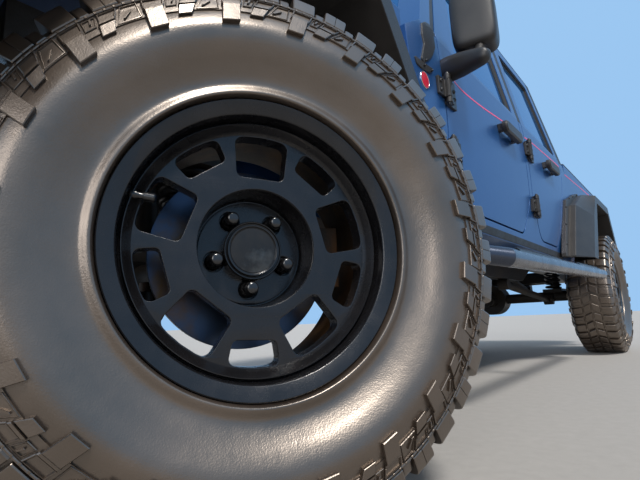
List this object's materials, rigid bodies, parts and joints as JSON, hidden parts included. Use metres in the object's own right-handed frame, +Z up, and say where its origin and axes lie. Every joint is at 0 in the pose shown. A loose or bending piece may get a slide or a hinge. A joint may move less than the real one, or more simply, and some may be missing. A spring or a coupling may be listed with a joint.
{
  "type": "lifted off-road crew-cab pickup",
  "caption": "Lifted off-road 4x4 pickup with crew cab, open load bed, wide mud tyres, side step tubes, steel bumpers, and working doors, hood, tailgate, steering and wheels.",
  "frame": {"origin": "on the ground, below the middle of the vehicle's overall length and width", "axes": "+X towards the vehicle's left, +Y towards its rear, +Z up"},
  "size_m": [2.255, 5.4799, 2.033],
  "materials": {
    "body_paint": "dark blue metallic paint under clear coat",
    "window_glass": "tinted automotive glass",
    "black_plastic": "textured black moulding",
    "grille_black": "black moulding",
    "lamp_lens": "clear lens",
    "bumper_steel": "black powder coat",
    "step_steel": "dark grey powder coat",
    "chassis_black": "black chassis paint with road dust",
    "spring_steel": "dark coated spring steel",
    "drive_metal": "cast metal",
    "exhaust_steel": "heat-stained steel",
    "tank_plastic": "moulded black tank",
    "seat_fabric": "dark woven cloth",
    "dash_plastic": "grained black plastic",
    "knuckle_iron": "cast iron with light rust",
    "rod_steel": "black coated steel",
    "tyre_rubber": "dusty black-brown rubber",
    "wheel_black": "satin black alloy",
    "disc_iron": "bare iron with a film of rust"
  },
  "bodies": {
    "truck": {"cab_tub": "body_paint", "windshield_frame": "body_paint", "hard_top": "body_paint", "bed": "body_paint", "front_fenders": "body_paint", "cab_glass": "window_glass", "wheel_arch_trim": "black_plastic", "body_hinges": "black_plastic", "grille": "grille_black", "lamps": "lamp_lens", "front_bumper": "bumper_steel", "rear_bumper": "bumper_steel", "side_steps": "step_steel", "frame_rails": "chassis_black", "front_axle": "chassis_black", "rear_axle": "chassis_black", "suspension": "chassis_black", "springs": "spring_steel", "powertrain": "drive_metal", "exhaust": "exhaust_steel", "fuel_tank": "tank_plastic", "seats": "seat_fabric", "dashboard": "dash_plastic"},
    "knuckle_left": {"knuckle_left": "knuckle_iron"},
    "knuckle_right": {"knuckle_right": "knuckle_iron"},
    "tie_rod": {"tie_rod": "rod_steel"},
    "hood": {"hood": "body_paint"},
    "tailgate": {"tailgate": "body_paint"},
    "wheel_front_left": {"hub_front_left": "disc_iron", "wheel_front_left": "wheel_black", "tyre_front_left": "tyre_rubber"},
    "door_front_left": {"door_front_left": "body_paint", "door_glass_front_left": "window_glass", "door_hardware_front_left": "black_plastic"},
    "wheel_front_right": {"hub_front_right": "disc_iron", "wheel_front_right": "wheel_black", "tyre_front_right": "tyre_rubber"},
    "door_front_right": {"door_front_right": "body_paint", "door_glass_front_right": "window_glass", "door_hardware_front_right": "black_plastic"},
    "wheel_rear_left": {"hub_rear_left": "disc_iron", "wheel_rear_left": "wheel_black", "tyre_rear_left": "tyre_rubber"},
    "door_rear_left": {"door_rear_left": "body_paint", "door_glass_rear_left": "window_glass", "door_hardware_rear_left": "black_plastic"},
    "wheel_rear_right": {"hub_rear_right": "disc_iron", "wheel_rear_right": "wheel_black", "tyre_rear_right": "tyre_rubber"},
    "door_rear_right": {"door_rear_right": "body_paint", "door_glass_rear_right": "window_glass", "door_hardware_rear_right": "black_plastic"}
  },
  "joints": [
    {"name": "steer_left", "type": "hinge", "parent": "truck", "child": "knuckle_left", "pos_m": [0.667, -1.92, 0.442], "axis": [0, 0, 1], "range_deg": [-6, 60]},
    {"name": "steer_right", "type": "hinge", "parent": "truck", "child": "knuckle_right", "pos_m": [-0.667, -1.92, 0.442], "axis": [0, 0, 1], "range_deg": [-6, 60]},
    {"name": "tie_rod_slide", "type": "slide", "parent": "truck", "child": "tie_rod", "axis": [1, 0, 0], "range_m": [-0.0151, 0.1497]},
    {"name": "wheel_front_left_spin", "type": "hinge", "parent": "knuckle_left", "child": "wheel_front_left", "pos_m": [0.80065, -1.9881, 0.442], "axis": [0.891, -0.454, 0], "continuous": true},
    {"name": "wheel_front_right_spin", "type": "hinge", "parent": "knuckle_right", "child": "wheel_front_right", "pos_m": [-0.80065, -1.8519, 0.442], "axis": [0.891, -0.454, 0], "continuous": true},
    {"name": "wheel_rear_left_spin", "type": "hinge", "parent": "truck", "child": "wheel_rear_left", "pos_m": [0.817, 1.567, 0.442], "axis": [1, 0, 0], "continuous": true},
    {"name": "wheel_rear_right_spin", "type": "hinge", "parent": "truck", "child": "wheel_rear_right", "pos_m": [-0.817, 1.567, 0.442], "axis": [1, 0, 0], "continuous": true},
    {"name": "door_front_left_hinge", "type": "hinge", "parent": "truck", "child": "door_front_left", "pos_m": [0.812, -1.027, 1.055], "axis": [0, 0, -1], "range_deg": [0, 65]},
    {"name": "door_front_right_hinge", "type": "hinge", "parent": "truck", "child": "door_front_right", "pos_m": [-0.812, -1.027, 1.055], "axis": [0, 0, 1], "range_deg": [0, 65]},
    {"name": "door_rear_left_hinge", "type": "hinge", "parent": "truck", "child": "door_rear_left", "pos_m": [0.812, 0.047, 1.055], "axis": [0, 0, -1], "range_deg": [0, 65]},
    {"name": "door_rear_right_hinge", "type": "hinge", "parent": "truck", "child": "door_rear_right", "pos_m": [-0.812, 0.047, 1.055], "axis": [0, 0, 1], "range_deg": [0, 65]},
    {"name": "hood_hinge", "type": "hinge", "parent": "truck", "child": "hood", "pos_m": [0, -1.4, 1.341], "axis": [-1, 0, 0], "range_deg": [0, 50]},
    {"name": "tailgate_hinge", "type": "hinge", "parent": "truck", "child": "tailgate", "pos_m": [0, 2.635, 0.855], "axis": [-1, 0, 0], "range_deg": [0, 90]}
  ],
  "couplings": [
    {"joint": "steer_right", "follows": "steer_left", "ratio": 1},
    {"joint": "tie_rod_slide", "follows": "steer_left", "m_per_rad": 0.1428}
  ]
}
